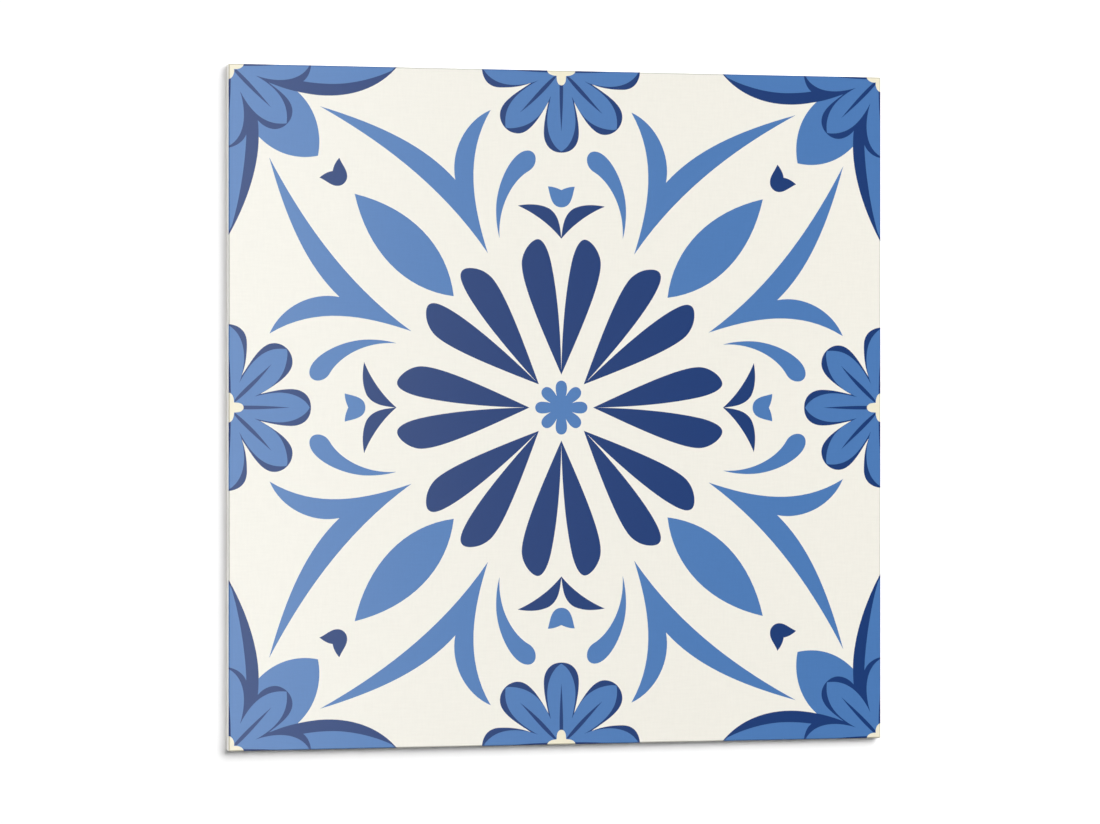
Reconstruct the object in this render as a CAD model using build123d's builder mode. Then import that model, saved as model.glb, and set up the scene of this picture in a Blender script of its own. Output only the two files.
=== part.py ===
from build123d import *
import os

# Self-adhesive vinyl tile, stored lying flat with its printed face up.
# Millimetres. The origin is the centre of the underside, +Z points out of the
# printed face and +Y is the top of the pattern.

# Driving dimensions
tile_size_x = 305.0
tile_size_y = 305.0
tile_thickness = 4.0
tile_corner_radius = 0.6
face_edge_radius = 0.5
liner_thickness = 0.15

# The tile and its backing paper are punched through together by one die,
# so one outline serves both.
with BuildSketch() as die_outline:
    RectangleRounded(tile_size_x, tile_size_y, tile_corner_radius)

# Release liner: the coated paper that covers the adhesive until the tile is
# laid. The stored tile rests on it.
with BuildPart() as release_liner:
    with BuildSketch(Plane.XY):
        add(die_outline.sketch)
    extrude(amount=liner_thickness)
release_liner.part.label = "release_liner"

# Vinyl tile: one bonded sheet, with its print under a clear wear film and its
# adhesive coat on the back. It starts where the liner ends, and the punch
# rolls over the edge that it enters from, which is the one round the print.
with BuildPart() as vinyl_tile:
    with BuildSketch(Plane.XY.offset(liner_thickness)):
        add(die_outline.sketch)
    extrude(amount=tile_thickness)
    printed_face = vinyl_tile.faces().sort_by(Axis.Z)[-1]
    fillet(printed_face.edges(), radius=face_edge_radius)
vinyl_tile.part.label = "vinyl_tile"

os.makedirs("parts", exist_ok=True)
export_step(release_liner.part, "parts/release_liner.step")
export_step(vinyl_tile.part, "parts/vinyl_tile.step")
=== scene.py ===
from math import pi, radians

import bpy
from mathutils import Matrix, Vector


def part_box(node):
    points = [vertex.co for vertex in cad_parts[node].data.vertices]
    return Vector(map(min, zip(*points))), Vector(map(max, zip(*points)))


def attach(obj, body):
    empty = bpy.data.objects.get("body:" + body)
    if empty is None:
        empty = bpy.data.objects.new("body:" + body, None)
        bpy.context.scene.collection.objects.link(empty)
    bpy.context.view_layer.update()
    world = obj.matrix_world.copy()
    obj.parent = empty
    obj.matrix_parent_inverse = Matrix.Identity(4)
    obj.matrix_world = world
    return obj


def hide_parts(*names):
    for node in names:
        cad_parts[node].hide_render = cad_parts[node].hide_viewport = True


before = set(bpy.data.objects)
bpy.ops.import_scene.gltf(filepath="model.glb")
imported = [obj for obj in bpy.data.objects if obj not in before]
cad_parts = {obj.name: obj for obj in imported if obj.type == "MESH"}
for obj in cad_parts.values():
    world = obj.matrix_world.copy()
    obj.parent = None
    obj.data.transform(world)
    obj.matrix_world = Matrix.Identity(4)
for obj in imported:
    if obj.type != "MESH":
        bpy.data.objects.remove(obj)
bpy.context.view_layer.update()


# Release liner
# A sheet of bleached paper with a silicone coat on its inner side. It covers the adhesive until
# the tile is laid, and the same punch cuts it, so it ends flush with the tile all round.

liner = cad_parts["release_liner"]


def colour(red, green, blue):
    """A colour given from 0 to 255, as a swatch book has it, in the numbers a shader wants."""
    steps = [step / 255 for step in (red, green, blue)]
    return tuple(s / 12.92 if s <= 0.04045 else ((s + 0.055) / 1.055) ** 2.4 for s in steps) + (1.0,)


def new_material(name):
    """A material with its Principled BSDF, and what is needed to add nodes to it."""
    material = bpy.data.materials.new(name)
    material.use_nodes = True
    tree = material.node_tree
    return material, tree.nodes, tree.links, tree.nodes["Principled BSDF"]


def stretched_noise(nodes, links, scales, detail, from_socket):
    """Noise with its own scale along each axis, in cells per metre."""
    stretch = nodes.new("ShaderNodeMapping")
    stretch.inputs["Scale"].default_value = scales
    links.new(from_socket, stretch.inputs["Vector"])
    noise = nodes.new("ShaderNodeTexNoise")
    noise.inputs["Scale"].default_value = 1.0
    noise.inputs["Detail"].default_value = detail
    links.new(stretch.outputs["Vector"], noise.inputs["Vector"])
    return noise.outputs["Fac"]


def give(links, value, socket):
    """Sets a socket to a plain value, or links it to the socket that its value comes from."""
    if isinstance(value, bpy.types.NodeSocket):
        links.new(value, socket)
    else:
        socket.default_value = value


def mixed(nodes, links, first, second, factor, blend_type="MIX"):
    """Two colours mixed or multiplied. Each value may come from a socket."""
    mix = nodes.new("ShaderNodeMix")
    mix.data_type = "RGBA"
    mix.blend_type = blend_type
    give(links, first, mix.inputs["A"])
    give(links, second, mix.inputs["B"])
    give(links, factor, mix.inputs["Factor"])
    return mix.outputs["Result"]


def add_relief(nodes, links, surface, height, distance):
    """Gives a surface the relief of a height from 0 to 1, times a distance in metres."""
    relief = nodes.new("ShaderNodeBump")
    relief.inputs["Distance"].default_value = distance
    links.new(height, relief.inputs["Height"])
    links.new(relief.outputs["Normal"], surface.inputs["Normal"])


paper, nodes, links, surface = new_material("bleached liner paper")
surface.inputs["Roughness"].default_value = 0.62
surface.inputs["Specular IOR Level"].default_value = 0.35
place = nodes.new("ShaderNodeTexCoord").outputs["Object"]
clouds = stretched_noise(nodes, links, (90, 130, 90), 3.0, place)
fibres = stretched_noise(nodes, links, (500, 2600, 900), 2.0, place)
fibre_tone = mixed(nodes, links, colour(236, 232, 219), colour(247, 245, 236), clouds)
links.new(fibre_tone, surface.inputs["Base Color"])
add_relief(nodes, links, surface, fibres, distance=0.00001)
liner.data.materials.clear()
liner.data.materials.append(paper)


# Vinyl sheet
# Filled vinyl with the printed film and a clear wear film laminated on top and an adhesive coat
# below. It is punched out face up, so the film is rolled over all round its upper edge.

lowest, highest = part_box("vinyl_tile")
width, length, thickness = highest - lowest
CORNER_ROUND = 0.0006
ROLLED_EDGE = 0.0005
ROUND_SEGMENTS = 6
# A point of the sheet lies on the printed face when it is no further below it than this
FACE_REACH = 0.000001

bpy.ops.object.select_all(action="DESELECT")
bpy.ops.mesh.primitive_cube_add(size=1, location=(lowest + highest) / 2)
sheet = bpy.context.object
sheet.name = "vinyl_sheet"
sheet.scale = (width, length, thickness)
bpy.ops.object.transform_apply(location=True, rotation=True, scale=True)


def round_edges(piece, chosen, radius):
    """Rounds those edges of a piece whose two ends pass the test."""
    bpy.ops.object.mode_set(mode="EDIT")
    bpy.ops.mesh.select_mode(type="EDGE")
    bpy.ops.mesh.select_all(action="DESELECT")
    bpy.ops.object.mode_set(mode="OBJECT")
    for edge in piece.data.edges:
        ends = [piece.data.vertices[number].co for number in edge.vertices]
        edge.select = chosen(*ends)
    bpy.ops.object.mode_set(mode="EDIT")
    bpy.ops.mesh.bevel(offset=radius, offset_type="OFFSET", segments=ROUND_SEGMENTS, profile=0.5)
    bpy.ops.object.mode_set(mode="OBJECT")


def on_face(*points):
    """Whether all the points lie on the printed face."""
    return all(point.z > highest.z - FACE_REACH for point in points)


round_edges(sheet, lambda a, b: abs(a.z - b.z) > thickness / 2, CORNER_ROUND)
round_edges(sheet, on_face, ROLLED_EDGE)


def worked_out(nodes, links, operation, *values):
    """The result of a Math node. Each value is a number or the socket that it comes from."""
    node = nodes.new("ShaderNodeMath")
    node.operation = operation
    for value, socket in zip(values, node.inputs):
        give(links, value, socket)
    return node.outputs["Value"]


def brought_to_range(nodes, links, value, start=(0, 1), end=(0, 1), interpolation="LINEAR"):
    """A value that runs over one range, brought to run over another and no further."""
    node = nodes.new("ShaderNodeMapRange")
    node.interpolation_type = interpolation
    for name, number in zip(("From Min", "From Max", "To Min", "To Max"), (*start, *end)):
        node.inputs[name].default_value = number
    links.new(value, node.inputs["Value"])
    return node.outputs["Result"]


def split(nodes, links, vector):
    """The X, Y and Z of a vector."""
    parts = nodes.new("ShaderNodeSeparateXYZ")
    links.new(vector, parts.inputs["Vector"])
    return parts.outputs


def cloth_threads(nodes, links, across, along, detail):
    """Noise drawn out both ways over the tile, as threads. Its mean is 1, its scales cells per metre."""
    place = nodes.new("ShaderNodeTexCoord").outputs["Object"]
    warp = stretched_noise(nodes, links, (across, along, 0), detail, place)
    weft = stretched_noise(nodes, links, (along, across, 0), detail, place)
    return worked_out(nodes, links, "ADD", warp, weft)


def linen_emboss():
    """The fine cloth grain that the laminating roller leaves in the wear film, as a height."""
    group = bpy.data.node_groups.new("linen emboss", "ShaderNodeTree")
    group.interface.new_socket("Height", in_out="OUTPUT", socket_type="NodeSocketFloat")
    nodes, links = group.nodes, group.links
    woven = cloth_threads(nodes, links, across=1500, along=230, detail=1.0)
    links.new(woven, nodes.new("NodeGroupOutput").inputs["Height"])
    return group


def printed_tone_and_painted_edge_shade():
    """Ink under the wear film: a little uneven along the grain, with painted shade darkening it on the
    rolled edge.
    """
    group = bpy.data.node_groups.new("printed tone and painted edge shade", "ShaderNodeTree")
    group.interface.new_socket("Ink", in_out="INPUT", socket_type="NodeSocketColor")
    group.interface.new_socket("Grain", in_out="INPUT", socket_type="NodeSocketFloat")
    group.interface.new_socket("Painted edge shade", in_out="INPUT", socket_type="NodeSocketFloat")
    group.interface.new_socket("Colour", in_out="OUTPUT", socket_type="NodeSocketColor")
    nodes, links = group.nodes, group.links
    given = nodes.new("NodeGroupInput").outputs

    # How light the ink is, which is a little more or less than 1 along the threads
    threads = cloth_threads(nodes, links, across=1100, along=130, detail=2.0)
    centred = worked_out(nodes, links, "SUBTRACT", threads, 1.0)
    uneven = worked_out(nodes, links, "MULTIPLY_ADD", centred, given["Grain"], 1.0)

    # 0 on the flat face and 1 on the rolled edge, from how near the outline is, to lay the painted edge
    # shade
    parts = split(nodes, links, nodes.new("ShaderNodeTexCoord").outputs["Object"])
    sides = [worked_out(nodes, links, "ABSOLUTE", parts[axis]) for axis in ("X", "Y")]
    outermost = worked_out(nodes, links, "MAXIMUM", *sides)
    shade_starts = width / 2 - ROLLED_EDGE * 1.4
    shade_is_full = width / 2 - ROLLED_EDGE * 0.7
    rolled = brought_to_range(
        nodes, links, outermost, start=(shade_starts, shade_is_full), interpolation="SMOOTHSTEP")
    # Painted shade: the ink is darkened towards the outline, over the rolled edge
    shade = worked_out(nodes, links, "MULTIPLY", rolled, given["Painted edge shade"])
    light = worked_out(nodes, links, "SUBTRACT", uneven, shade)

    toned = mixed(nodes, links, given["Ink"], light, 1.0, blend_type="MULTIPLY")
    links.new(toned, nodes.new("NodeGroupOutput").inputs["Colour"])
    return group


emboss_group = linen_emboss()
tone_and_shade_group = printed_tone_and_painted_edge_shade()


def printed_vinyl(name, ink, grain, painted_edge_shade, gloss):
    """One ink of the print, seen through the satin wear film, with painted shade on its rolled edge."""
    material, nodes, links, surface = new_material(name)
    surface.inputs["Roughness"].default_value = 0.38
    surface.inputs["Specular IOR Level"].default_value = gloss
    tone = nodes.new("ShaderNodeGroup")
    tone.node_tree = tone_and_shade_group
    tone.inputs["Ink"].default_value = ink
    tone.inputs["Grain"].default_value = grain
    tone.inputs["Painted edge shade"].default_value = painted_edge_shade
    links.new(tone.outputs["Colour"], surface.inputs["Base Color"])
    emboss = nodes.new("ShaderNodeGroup")
    emboss.node_tree = emboss_group
    add_relief(nodes, links, surface, emboss.outputs["Height"], distance=0.000006)
    return material


# Each ink's edge shade is painted shade: how much darker its rolled edge is coloured
cream_ground = printed_vinyl(
    "cream ground", colour(239, 236, 226), grain=0.052, painted_edge_shade=0.4, gloss=0.25)

# The cut side: speckled filled vinyl, with the printed film as a whiter line above it and the
# adhesive as a yellower line below. Heights are shares of the sheet's thickness.
FILLED_VINYL = colour(214, 213, 213)
PRINTED_FILM = colour(243, 243, 240)
ADHESIVE_SIDE = colour(222, 210, 178)
ADHESIVE_ENDS, VINYL_STARTS = 0.025, 0.035
VINYL_ENDS, FILM_STARTS = 0.83, 0.85

cut_side, nodes, links, surface = new_material("cut vinyl side")
surface.inputs["Roughness"].default_value = 0.5
place = nodes.new("ShaderNodeTexCoord").outputs["Object"]
height = split(nodes, links, place)["Z"]
level = brought_to_range(nodes, links, height, start=(lowest.z, highest.z))
layers = nodes.new("ShaderNodeValToRGB")
ramp = layers.color_ramp.elements
ramp[0].position = ADHESIVE_ENDS
ramp[0].color = ADHESIVE_SIDE
ramp[1].position = VINYL_STARTS
ramp[1].color = FILLED_VINYL
ramp.new(VINYL_ENDS).color = FILLED_VINYL
ramp.new(FILM_STARTS).color = PRINTED_FILM
links.new(level, layers.inputs["Fac"])
filler = stretched_noise(nodes, links, (2200, 2200, 2200), 2.0, place)
specks = brought_to_range(nodes, links, filler, end=(0.9, 1.06))
core = mixed(nodes, links, layers.outputs["Color"], specks, 1.0, blend_type="MULTIPLY")
links.new(core, surface.inputs["Base Color"])
punch_marks = stretched_noise(nodes, links, (1800, 1800, 60), 2.0, place)
add_relief(nodes, links, surface, punch_marks, distance=0.00002)

# The adhesive coat, rolled on in one direction
adhesive, nodes, links, surface = new_material("adhesive coat")
surface.inputs["Roughness"].default_value = 0.3
place = nodes.new("ShaderNodeTexCoord").outputs["Object"]
roller_streaks = stretched_noise(nodes, links, (60, 900, 60), 3.0, place)
coat = mixed(nodes, links, colour(214, 203, 172), colour(228, 219, 192), roller_streaks)
links.new(coat, surface.inputs["Base Color"])

for finish in (cream_ground, cut_side, adhesive):
    sheet.data.materials.append(finish)
ON_TOP, ON_SIDE, UNDERNEATH = range(3)
for face in sheet.data.polygons:
    if face.normal.z < -0.5:
        face.material_index = UNDERNEATH
    elif abs(face.normal.z) < 0.01:
        face.material_index = ON_SIDE
    else:
        face.material_index = ON_TOP
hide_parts("vinyl_tile")
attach(sheet, "root")


# Flower centres
# Pale yellow ink in the middle of each half flower and quarter flower. Each ink of the print is a
# thin inlay flush with the face, taken out of the sheet where that ink lies.

MILLIMETRE = 0.001
# The depths are in millimetres and all differ, so that no two inlays have their bottoms level
CENTRE_DEPTH = 0.45


def outline(start, *stretches):
    """A line in millimetres. A stretch is two handles and an end, or only an end where it is straight.

    What lies more than 152.5 mm from the middle is past the tile's edge, which ends it.
    """
    points = [start]
    for stretch in stretches:
        if len(stretch) == 2:
            points += [points[-1], stretch, stretch]
        else:
            points += [stretch[0:2], stretch[2:4], stretch[4:6]]
    return points


def whole(half, over="upright"):
    """The line of a symmetric shape from the line of its half, over the upright axis or the diagonal."""
    if over == "upright":
        other = [(-x, y) for x, y in reversed(half)]
    else:
        other = [(y, x) for x, y in reversed(half)]
    return half + other[1:]


def stand_up(name, depth, *lines):
    """A solid through the printed face, filled between lines that lie one inside another."""
    bpy.ops.object.select_all(action="DESELECT")
    bpy.ops.curve.primitive_bezier_curve_add(location=(0, 0, 0))
    shape = bpy.context.object
    shape.name = name
    drawing = shape.data
    drawing.splines.clear()
    drawing.dimensions = "2D"
    drawing.fill_mode = "BOTH"
    drawing.resolution_u = 16
    drawing.extrude = depth
    for line in lines:
        closed = line[:-1]
        spline = drawing.splines.new("BEZIER")
        spline.bezier_points.add(len(closed) // 3 - 1)
        spline.use_cyclic_u = True
        for number, point in enumerate(spline.bezier_points):
            before, here, after = closed[3 * number - 1], closed[3 * number], closed[3 * number + 1]
            point.co = (*here, 0)
            point.handle_left_type = "VECTOR" if before == here else "FREE"
            point.handle_right_type = "VECTOR" if after == here else "FREE"
            point.handle_left = (*before, 0)
            point.handle_right = (*after, 0)
    bpy.ops.object.convert(target="MESH")
    shape.scale = (MILLIMETRE, MILLIMETRE, MILLIMETRE)
    shape.location.z = highest.z
    bpy.ops.object.transform_apply(location=True, rotation=True, scale=True)
    bpy.ops.object.mode_set(mode="EDIT")
    bpy.ops.mesh.select_all(action="SELECT")
    bpy.ops.mesh.remove_doubles(threshold=0.000002)
    bpy.ops.mesh.normals_make_consistent(inside=False)
    bpy.ops.object.mode_set(mode="OBJECT")
    return shape


def choose(*pieces):
    """Selects these pieces alone and makes the first one active."""
    bpy.ops.object.select_all(action="DESELECT")
    for piece in pieces:
        piece.select_set(True)
    bpy.context.view_layer.objects.active = pieces[0]


def mirrored(shape, below=True):
    """Adds the mirror image of a shape at the left of the tile, and both of them below."""
    choose(shape)
    bpy.ops.object.modifier_add(type="MIRROR")
    mirror = shape.modifiers[-1]
    mirror.use_axis = (True, below, False)
    mirror.use_mirror_merge = False
    bpy.ops.object.modifier_apply(modifier=mirror.name)
    return shape


def quarter_turned(shape):
    """Adds three copies of a shape to it, each a quarter turn further round the tile."""
    copies = []
    for quarters in (1, 2, 3):
        choose(shape)
        bpy.ops.object.duplicate(linked=False)
        copy = bpy.context.object
        copy.rotation_euler.z = quarters * pi / 2
        bpy.ops.object.transform_apply(rotation=True)
        copies.append(copy)
    choose(shape, *copies)
    bpy.ops.object.join()
    return shape


def inlay(name, ink, shapes):
    """Takes what the shapes cover out of the sheet and keeps it as a piece in that ink."""
    choose(*shapes)
    bpy.ops.object.join()
    cutter = shapes[0]
    choose(sheet)
    bpy.ops.object.duplicate(linked=False)
    piece = bpy.context.object
    piece.name = name
    for target, operation in ((piece, "INTERSECT"), (sheet, "DIFFERENCE")):
        choose(target)
        bpy.ops.object.modifier_add(type="BOOLEAN")
        cut = target.modifiers[-1]
        cut.object = cutter
        cut.operation = operation
        cut.solver = "EXACT"
        bpy.ops.object.modifier_apply(modifier=cut.name)
    choose(cutter)
    bpy.ops.object.delete()
    piece.data.materials.clear()
    piece.data.materials.append(ink)
    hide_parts("vinyl_tile")
    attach(piece, "root")
    return piece


half_centre = whole(outline(
    (0, 145.8),
    (1.2, 145.8, 2.0, 147.0, 2.1, 148.4),
    (2.15, 149.2, 2.2, 149.7, 2.25, 150.1),
    (4.6, 150.1, 6.6, 151.0, 6.6, 152.6),
    (6.6, 154),
    (0, 154),
))
quarter_centre = whole(outline(
    (150.15, 150.15),
    (149.7, 150.05, 149.2, 150.0, 148.6, 150.1),
    (147.0, 150.35, 145.7, 151.4, 145.7, 152.6),
    (145.7, 154),
    (154, 154),
), over="diagonal")

pale_yellow = printed_vinyl(
    "pale yellow ink", colour(238, 231, 206), grain=0.052, painted_edge_shade=0.4, gloss=0.25)
flower_centres = inlay("flower_centres", pale_yellow, [
    quarter_turned(stand_up("half centres", CENTRE_DEPTH, half_centre)),
    quarter_turned(stand_up("quarter centres", CENTRE_DEPTH, quarter_centre)),
])


# Blue ink
# The middle blue of the print: petals, side leaves and corner leaves of the border flowers, the
# leaves and small cups of the field, and the small flower in the middle of the tile.

BLUE_DEPTH = 0.43

# Half flowers: the petals, with a vein left open in each and a line left open along the edge
half_petals = whole(outline(
    (0, 115.9),
    (4.4, 118.2, 6.75, 124.3, 6.6, 130.1),
    (6.5, 134.2, 5.6, 137.6, 4.9, 140.9),
    (7.8, 134.6, 11.9, 126.8, 23.5, 126.0),
    (24.5, 126.0, 25.5, 126.05, 26.0, 126.5),
    (27.0, 134.5, 23.5, 141.0, 10.8, 147.8),
    (17.0, 145.2, 30.7, 143.0, 36.4, 152.5),
    (36.9, 154),
    (30.5, 154),
    (26.5, 152.3, 16.0, 151.6, 5.5, 151.5),
    (0, 151.5),
))
upright_vein = whole(outline(
    (0, 124.8),
    (0.6, 133.0, 0.95, 141.0, 0.8, 147.0),
    (0, 147.0),
))
slanted_vein = outline(
    (2.2, 149.9),
    (4.9, 146.2, 10.3, 139.9, 19.3, 133.2),
    (14.2, 138.7, 8.3, 146.2, 3.3, 149.9),
    (2.2, 149.9),
)
opposite_vein = [(-x, y) for x, y in slanted_vein]
half_flowers = quarter_turned(stand_up(
    "half flowers", BLUE_DEPTH, half_petals, upright_vein, slanted_vein, opposite_vein))

# Quarter flowers: the corner petal and halves of the two beside it
quarter_petals = whole(outline(
    (126.4, 126.4),
    (125.4, 134.0, 128.5, 141.2, 140.4, 147.4),
    (130.0, 144.1, 118.9, 144.9, 115.2, 154),
    (123.5, 154),
    (128.5, 152.3, 136.0, 151.6, 146.5, 151.5),
    (151.5, 151.5),
), over="diagonal")
corner_vein = whole(outline(
    (133.3, 133.3),
    (138.6, 139.6, 144.3, 146.0, 149.2, 150.1),
    (149.8, 149.8),
), over="diagonal")
quarter_flowers = quarter_turned(stand_up(
    "quarter flowers", BLUE_DEPTH, quarter_petals, corner_vein))

# Side leaves, one along each edge from every corner, ending against the shade of the petals
level_side_leaf = outline(
    (75.5, 154),
    (78.45, 150.9),
    (84.5, 147.9, 95.5, 144.4, 106.0, 144.35),
    (111.0, 144.35, 115.5, 144.75, 118.9, 145.3),
    (116.9, 146.7, 115.4, 149.5, 115.1, 154),
    (75.5, 154),
)
upright_side_leaf = outline(
    (153.9, 75.4),
    (151.2, 80.4),
    (147.9, 91.0, 145.2, 106.5, 144.6, 119.5),
    (144.6, 120.0, 144.6, 120.6, 144.65, 121.2),
    (145.6, 118.2, 149.5, 115.2, 153.9, 115.1),
    (153.9, 75.4),
)
side_leaves = mirrored(stand_up("side leaves", BLUE_DEPTH, level_side_leaf, upright_side_leaf))

# Corner leaves, ending against the shades of the quarter flower and of the side leaves
corner_leaf = outline(
    (112.2, 112.2),
    (110.2, 121.5, 112.6, 133.0, 121.4, 140.6),
    (126.0, 141.4, 130.3, 142.9, 134.4, 144.4),
    (129.8, 140.9, 123.8, 137.2, 123.75, 131.8),
    (123.8, 129.6, 124.7, 127.7, 126.2, 126.2),
    (127.7, 124.7, 129.6, 123.8, 131.8, 123.75),
    (134.8, 123.8, 137.6, 125.5, 139.4, 127.6),
    (139.1, 125.5, 139.0, 123.0, 139.1, 120.4),
    (131.5, 112.6, 121.5, 110.2, 112.2, 112.2),
)
corner_leaves = mirrored(stand_up("corner leaves", BLUE_DEPTH, corner_leaf))

# Leaves and cups of the field
forked_leaf = outline(
    (34.2, 69.5),
    (41.1, 90.7, 45.5, 113.0, 32.9, 134.1),
    (44.8, 129.0, 51.8, 115.0, 49.3, 102.4),
    (62.9, 117.1, 83.1, 126.4, 111.3, 134.3),
    (86.7, 121.0, 56.6, 101.4, 34.2, 69.5),
)
curled_leaf = outline(
    (28.8, 76.4),
    (29.9, 80.2, 30.4, 84.5, 30.4, 89.0),
    (30.5, 101.5, 22.6, 116.1, 15.7, 116.1),
    (13.5, 116.1, 12.0, 114.6, 12.0, 112.3),
    (12.0, 110.0, 13.2, 108.1, 15.1, 106.9),
    (22.4, 102.8, 29.8, 91.0, 28.8, 76.4),
)
pointed_leaf = whole(outline(
    (50.0, 50.0),
    (52.8, 73.2, 70.2, 89.7, 95.5, 95.5),
), over="diagonal")
small_cup = whole(outline(
    (0, 98.4),
    (2.1, 99.4, 4.0, 100.0, 6.3, 100.0),
    (5.2, 96.5, 5.0, 90.6, 0, 90.6),
))
field_leaves = [
    quarter_turned(mirrored(stand_up("forked leaves", BLUE_DEPTH, forked_leaf), below=False)),
    quarter_turned(mirrored(stand_up("curled leaves", BLUE_DEPTH, curled_leaf), below=False)),
    quarter_turned(stand_up("pointed leaves", BLUE_DEPTH, pointed_leaf)),
    quarter_turned(stand_up("small cups", BLUE_DEPTH, small_cup)),
]

# The small flower of eight round petals, drawn as an eighth and turned round the middle
petal_quarter = whole(outline(
    (0, 12.2),
    (1.6, 12.2, 2.65, 10.9, 2.65, 9.0),
    (2.65, 7.2, 2.4, 6.2, 2.05, 5.0),
    (3.4, 7.3, 4.8, 9.3, 6.7, 9.3),
    (7.9, 9.3, 8.6, 8.6, 8.6, 8.6),
), over="diagonal")
middle_line = petal_quarter[:]
for turn in range(3):
    petal_quarter = [(y, -x) for x, y in petal_quarter]
    middle_line += petal_quarter[1:]
middle_flower = stand_up("middle flower", BLUE_DEPTH, middle_line)

middle_blue = printed_vinyl(
    "middle blue ink", colour(68, 117, 178), grain=0.06, painted_edge_shade=0.3, gloss=0.25)
blue_print = inlay("blue_print", middle_blue, [
    half_flowers, quarter_flowers, side_leaves, corner_leaves, *field_leaves, middle_flower])


# Navy ink
# The dark blue of the print: the rosette round the middle, the small birds and buds, and the shade
# and veins of the border flowers, which show wherever the blue ink leaves them open.

NAVY_DEPTH = 0.41

half_shade = whole(outline(
    (0, 115.35),
    (5.6, 115.35, 8.2, 119.5, 8.2, 124.2),
    (8.2, 129.5, 6.9, 134.2, 6.05, 138.2),
    (9.75, 131.8, 14.6, 123.7, 20.2, 123.7),
    (25.0, 123.7, 28.65, 127.6, 28.65, 132.0),
    (28.65, 138.0, 20.4, 142.4, 14.2, 146.6),
    (19.2, 144.75, 23.5, 144.3, 28.5, 144.3),
    (34.2, 144.3, 37.3, 148.1, 37.1, 155),
    (0, 155),
))
corner_shade = outline(
    (74.2, 155),
    (82.1, 143.9, 95.0, 139.0, 108.5, 139.1),
    (112.5, 139.1, 117.0, 139.7, 121.7, 140.65),
    (118.5, 118.5),
    (138.95, 120.9),
    (138.9, 104.6, 146.2, 86.3, 155, 72.2),
    (155, 155),
    (74.2, 155),
)
upright_petals = whole(outline(
    (0, 14.9),
    (8.6, 34.0, 18.5, 55.5, 18.5, 65.0),
    (18.5, 70.5, 13.9, 76.1, 11.0, 76.1),
    (8.5, 76.1, 6.35, 71.9, 4.9, 66.0),
    (1.75, 52.0, 0.35, 34.0, 0, 16.8),
))
slanted_petals = whole(outline(
    (10.5, 10.5),
    (16.6, 26.6, 25.9, 52.0, 32.6, 58.8),
    (35.4, 61.4, 38.7, 62.8, 42.3, 62.8),
    (45.4, 62.8, 46.9, 61.6, 46.9, 59.2),
    (46.9, 54.6, 38.6, 40.4, 11.9, 11.9),
), over="diagonal")
bird = whole(outline(
    (0, 76.4),
    (5.5, 83.0, 13.3, 88.3, 20.4, 91.15),
    (14.5, 92.3, 9.6, 91.9, 5.7, 90.05),
    (0.75, 87.1, 0.6, 81.0, 0, 77.1),
))
bud = whole(outline(
    (100.2, 100.2),
    (99.4, 101.0, 98.9, 102.0, 98.9, 103.4),
    (98.9, 106.2, 101.2, 108.4, 102.5, 111.5),
    (103.8, 110.0, 105.2, 107.9, 105.5, 105.5),
), over="diagonal")

navy = printed_vinyl("navy ink", colour(8, 51, 112), grain=0.07, painted_edge_shade=0.25, gloss=0.18)
navy_print = inlay("navy_print", navy, [
    quarter_turned(stand_up("half shades", NAVY_DEPTH, half_shade)),
    mirrored(stand_up("corner shades", NAVY_DEPTH, corner_shade)),
    quarter_turned(stand_up("upright petals", NAVY_DEPTH, upright_petals)),
    quarter_turned(stand_up("slanted petals", NAVY_DEPTH, slanted_petals)),
    quarter_turned(stand_up("birds", NAVY_DEPTH, bird)),
    quarter_turned(stand_up("buds", NAVY_DEPTH, bud)),
])

# The rolled edge is smooth and the flat face stays flat up to it
for piece in (sheet, flower_centres, blue_print, navy_print):
    choose(piece)
    bpy.ops.object.shade_smooth_by_angle(angle=radians(25))
    for edge in piece.data.edges:
        if on_face(*[piece.data.vertices[number].co for number in edge.vertices]):
            edge.use_edge_sharp = True


# Floor
# A plain white table. It lights the tile as white paint does, and to the camera and in reflections
# it is bright enough to be plain white all round the tile's shadow.

bpy.ops.object.select_all(action="DESELECT")
bpy.ops.mesh.primitive_plane_add(size=30, location=(0, 0, 0))
floor = bpy.context.object
floor.name = "floor"
white_floor, nodes, links, surface = new_material("white table")
surface.inputs["Roughness"].default_value = 1.0
surface.inputs["Specular IOR Level"].default_value = 0.0


def seen_directly(nodes, links):
    """1 for what the camera sees, straight, mirrored or through glass, and 0 for light on things."""
    path = nodes.new("ShaderNodeLightPath").outputs
    mirrored_too = worked_out(nodes, links, "MAXIMUM", path["Is Camera Ray"], path["Is Glossy Ray"])
    return worked_out(nodes, links, "MAXIMUM", mirrored_too, path["Is Transmission Ray"])


def grey(level):
    """A plain grey, from 0 for black to 1 for white."""
    return (level, level, level, 1)


table_white = mixed(nodes, links, grey(0.9), grey(1.1), seen_directly(nodes, links))
links.new(table_white, surface.inputs["Base Color"])
floor.data.materials.append(white_floor)


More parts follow.
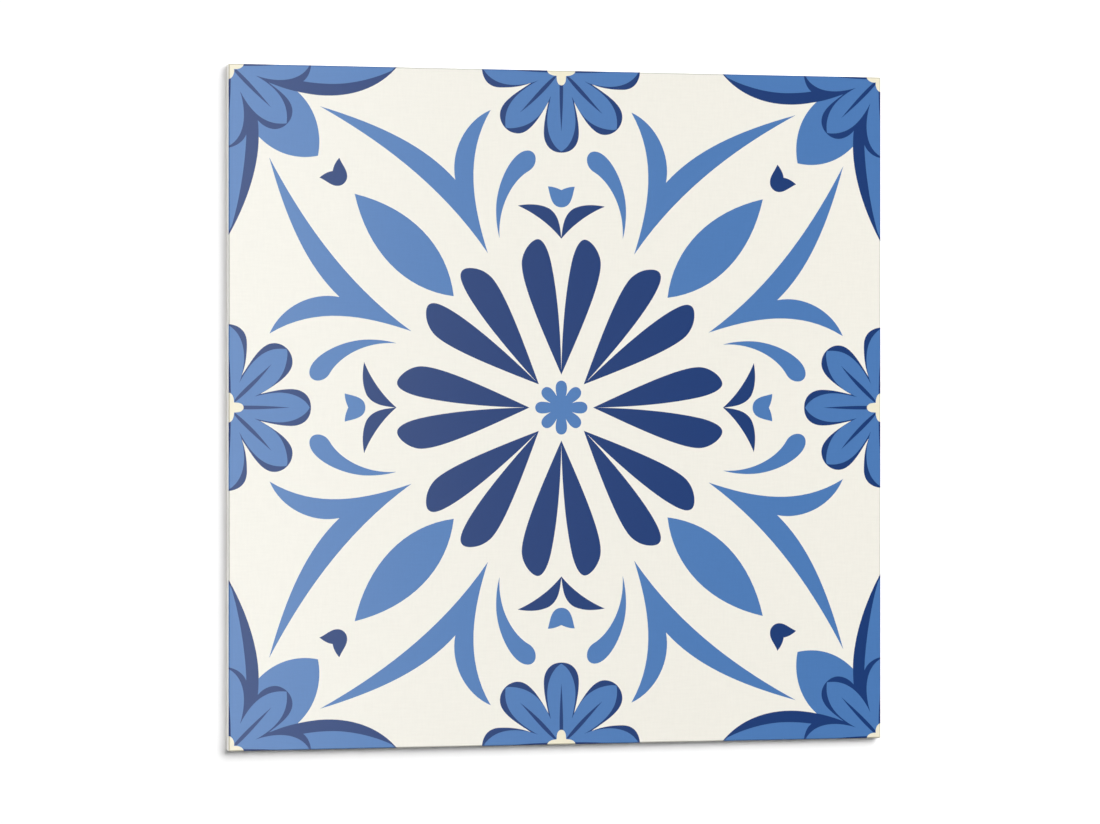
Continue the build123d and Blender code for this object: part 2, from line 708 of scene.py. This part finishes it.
# Light
# One wide soft light from the upper right, a nearer one at the right that fades to the left, a low
# fill from the left for the tile's side, a long strip whose gloss lies on the left half, and a dim
# even room. In reflections alone the room has white walls and a dark ceiling.

bpy.ops.object.light_add(type="SUN", location=(2, 2, 5), rotation=(radians(-33), radians(30), 0))
wide_light = bpy.context.object
wide_light.name = "wide soft light"
wide_light.data.angle = radians(52)
wide_light.data.energy = 3.03
wide_light.visible_glossy = False

bpy.ops.object.light_add(
    type="AREA", location=(1.05, 0.25, 1.1), rotation=(radians(-9.3), radians(43.7), 0))
near_light = bpy.context.object
near_light.name = "near soft light"
near_light.data.shape = "DISK"
near_light.data.size = 0.9
near_light.data.energy = 6
near_light.visible_glossy = False
near_light.visible_camera = False

bpy.ops.object.light_add(type="SUN", location=(-4, 0, 1), rotation=(0, radians(-86), radians(-4)))
low_fill = bpy.context.object
low_fill.name = "low fill light"
low_fill.data.angle = radians(9)
low_fill.data.energy = 2.34
low_fill.visible_glossy = False

bpy.ops.object.light_add(type="AREA", location=(-0.1, 0, 0.9), rotation=(0, 0, 0))
strip = bpy.context.object
strip.name = "strip light"
strip.data.shape = "RECTANGLE"
strip.data.size = 0.25
strip.data.size_y = 1.6
strip.data.energy = 22
strip.data.color = (0.93, 0.98, 1.0)
strip.visible_diffuse = False
strip.visible_camera = False

world = bpy.data.worlds.new("room")
bpy.context.scene.world = world
world.use_nodes = True
nodes, links = world.node_tree.nodes, world.node_tree.links
upward = split(nodes, links, nodes.new("ShaderNodeTexCoord").outputs["Generated"])["Z"]
wall = brought_to_range(nodes, links, upward, start=(0.6, 0.3), interpolation="SMOOTHSTEP")
room = mixed(nodes, links, grey(0.08), wall, seen_directly(nodes, links))
links.new(room, nodes["Background"].inputs["Color"])
bpy.context.scene.view_settings.view_transform = "Standard"


# Camera
# A long lens, 1.9 m from the middle of the tile. It looks down on the printed face and leans in
# from the left.

bpy.ops.object.camera_add(location=(-0.4804, -0.0020, 1.8248), rotation=(0, radians(-14.625), 0))
camera = bpy.context.object
camera.data.sensor_width = 36
camera.data.lens = 136.19
bpy.context.scene.camera = camera
